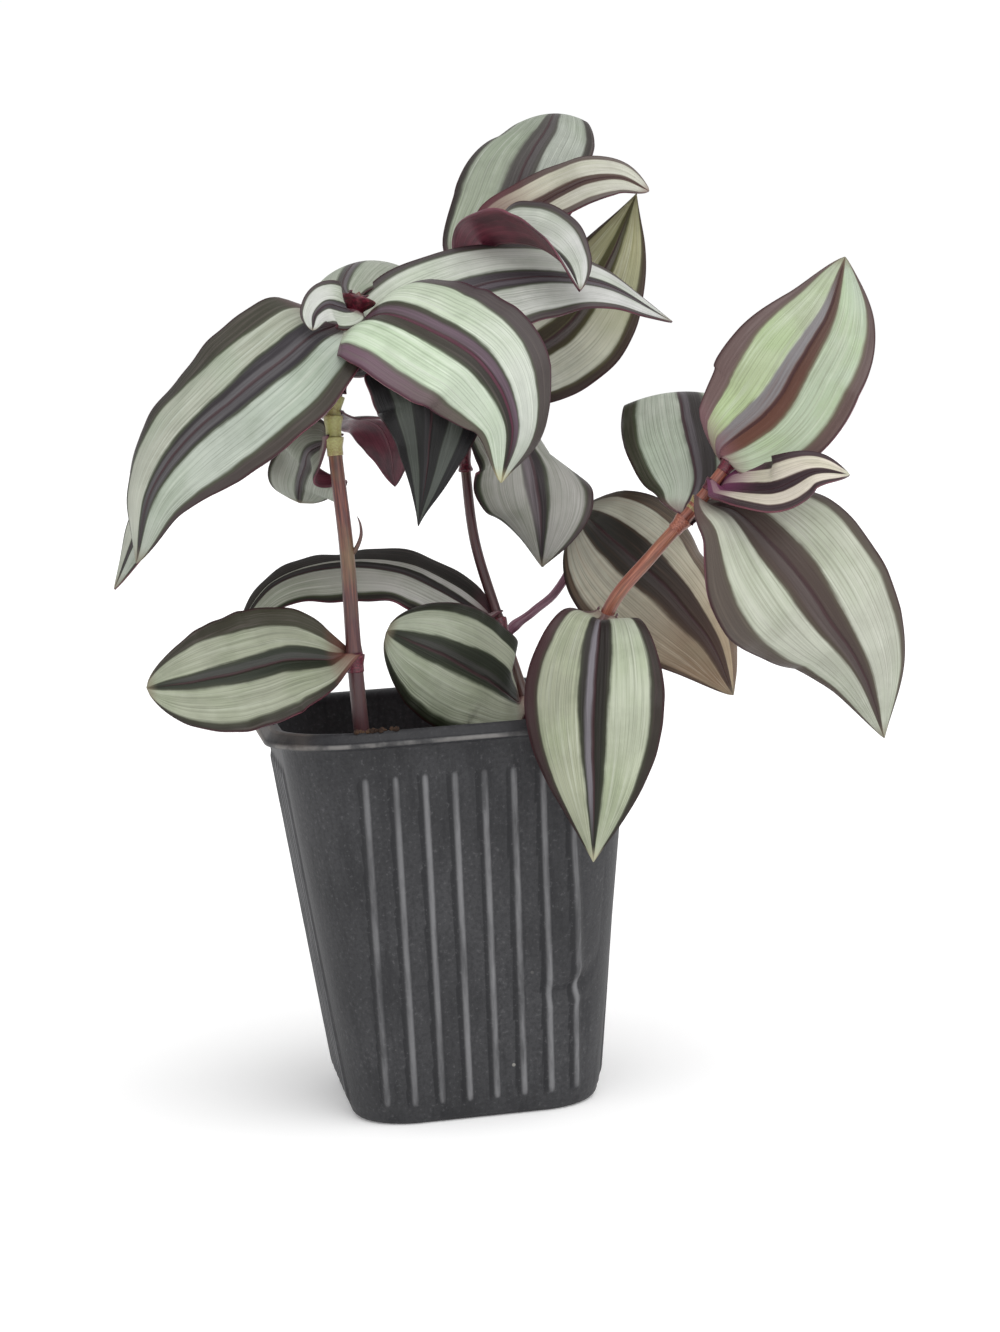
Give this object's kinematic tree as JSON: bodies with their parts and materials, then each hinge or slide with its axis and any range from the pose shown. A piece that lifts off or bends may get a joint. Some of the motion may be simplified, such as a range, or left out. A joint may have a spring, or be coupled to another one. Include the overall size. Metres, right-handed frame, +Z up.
{
  "type": "potted tradescantia",
  "caption": "Trailing houseplant with silver-striped pointed leaves on thin reddish shoots, in a fluted square black nursery pot with a flared rim.",
  "frame": {"origin": "middle of the pot's flat underside", "axes": "+Z up, -Y towards the side that the picture shows, +X to that view's right"},
  "size_m": [0.1782, 0.1157, 0.2382],
  "materials": {
    "pot_plastic": "thin charcoal plastic, satin, lightly scuffed",
    "soil": "dark crumbly peat",
    "stem": "smooth fleshy red-brown stem",
    "leaf": "satin leaf with silver bands, dark middle and margin, purple underside"
  },
  "bodies": {
    "root": {"pot": "pot_plastic", "soil": "soil", "stem_front": "stem", "stem_middle": "stem", "stem_right": "stem", "stem_short": "stem", "front_leaf_1": "leaf", "front_leaf_2": "leaf", "front_leaf_3": "leaf", "front_leaf_4": "leaf", "front_leaf_5": "leaf", "front_leaf_6": "leaf", "front_leaf_7": "leaf", "front_leaf_8": "leaf", "front_leaf_9": "leaf", "front_leaf_10": "leaf", "middle_leaf_1": "leaf", "middle_leaf_2": "leaf", "middle_leaf_3": "leaf", "middle_leaf_4": "leaf", "middle_leaf_5": "leaf", "middle_leaf_6": "leaf", "middle_leaf_7": "leaf", "right_leaf_1": "leaf", "right_leaf_2": "leaf", "right_leaf_3": "leaf", "right_leaf_4": "leaf", "right_leaf_5": "leaf", "short_leaf_1": "leaf"}
  },
  "joints": []
}
